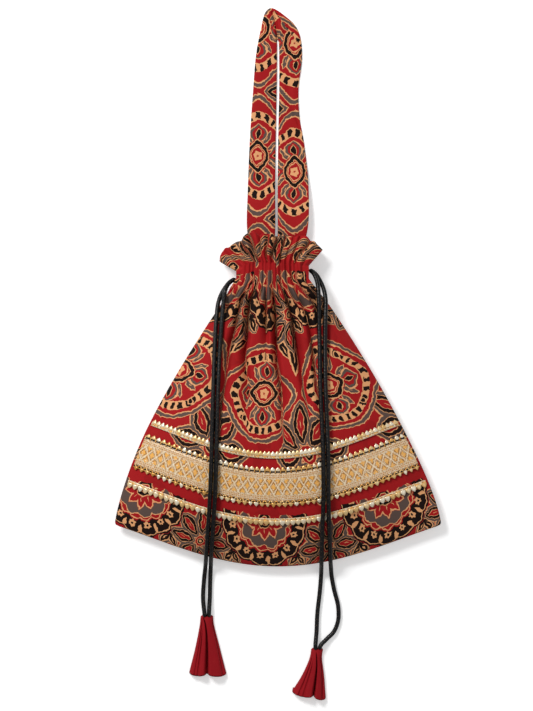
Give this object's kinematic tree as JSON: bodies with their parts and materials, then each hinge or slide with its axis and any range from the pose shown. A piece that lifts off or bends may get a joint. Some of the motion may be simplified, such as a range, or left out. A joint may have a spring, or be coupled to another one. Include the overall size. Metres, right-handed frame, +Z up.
{
  "type": "potli bag",
  "caption": "Drawstring potli bag of printed cotton with gold lace bands, a gathered ruffled neck, a folded strap handle and cloth tassels on black cords.",
  "frame": {"origin": "on the resting surface, under the middle of the bag without its cords and tassels", "axes": "+Y from the hem towards the handle's top, +Z up out of the bag's front, +X to the right as seen from the front"},
  "size_m": [0.2606, 0.553, 0.0406],
  "materials": {
    "printed_cotton": "plain-woven cotton with a traditional block print in grey, black and tan on red, matt",
    "casing_cotton": "plain-woven red cotton, matt",
    "strap_cotton": "the same printed cotton, cut without a motif, pressed and crumpled, matt",
    "black_cord": "satin-covered round cord, soft gloss",
    "red_cotton": "plain deep red cotton, matt",
    "gold_lace": "woven metallic gota lace with bead edges, glossy"
  },
  "bodies": {
    "root": {"front_panel": "printed_cotton", "back_panel": "printed_cotton", "front_casing_strip": "casing_cotton", "back_casing_strip": "casing_cotton", "handle_strap": "strap_cotton", "left_drawstring": "black_cord", "right_drawstring": "black_cord", "left_tassel": "red_cotton", "right_tassel": "red_cotton", "front_upper_trim": "gold_lace", "front_wide_lace": "gold_lace", "front_lower_trim": "gold_lace", "back_upper_trim": "gold_lace", "back_wide_lace": "gold_lace", "back_lower_trim": "gold_lace"}
  },
  "joints": []
}
